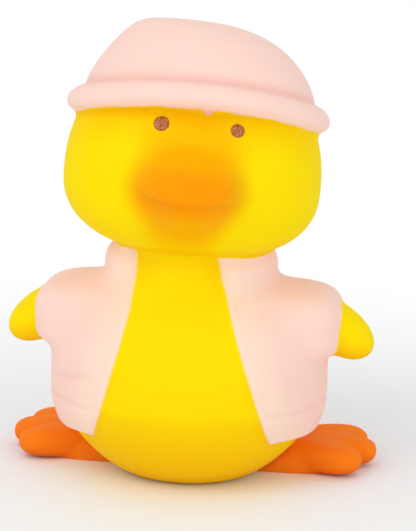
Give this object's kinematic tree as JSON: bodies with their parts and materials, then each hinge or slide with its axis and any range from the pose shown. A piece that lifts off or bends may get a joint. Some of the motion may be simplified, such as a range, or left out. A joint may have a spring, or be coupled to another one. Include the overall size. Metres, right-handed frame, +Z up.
{
  "type": "rubber duck",
  "caption": "Soft foam squeeze toy: a duck in a brimmed hat and an open vest, moulded in one piece, standing on its belly and splayed feet.",
  "frame": {"origin": "middle of the flat patch under the belly, on the surface that the duck stands on", "axes": "+Z up; the duck faces -Y and its right wing points to -X"},
  "size_m": [0.095, 0.0707, 0.1169],
  "materials": {
    "painted_foam": "matte"
  },
  "bodies": {
    "root": {"duck": "painted_foam"}
  },
  "joints": []
}
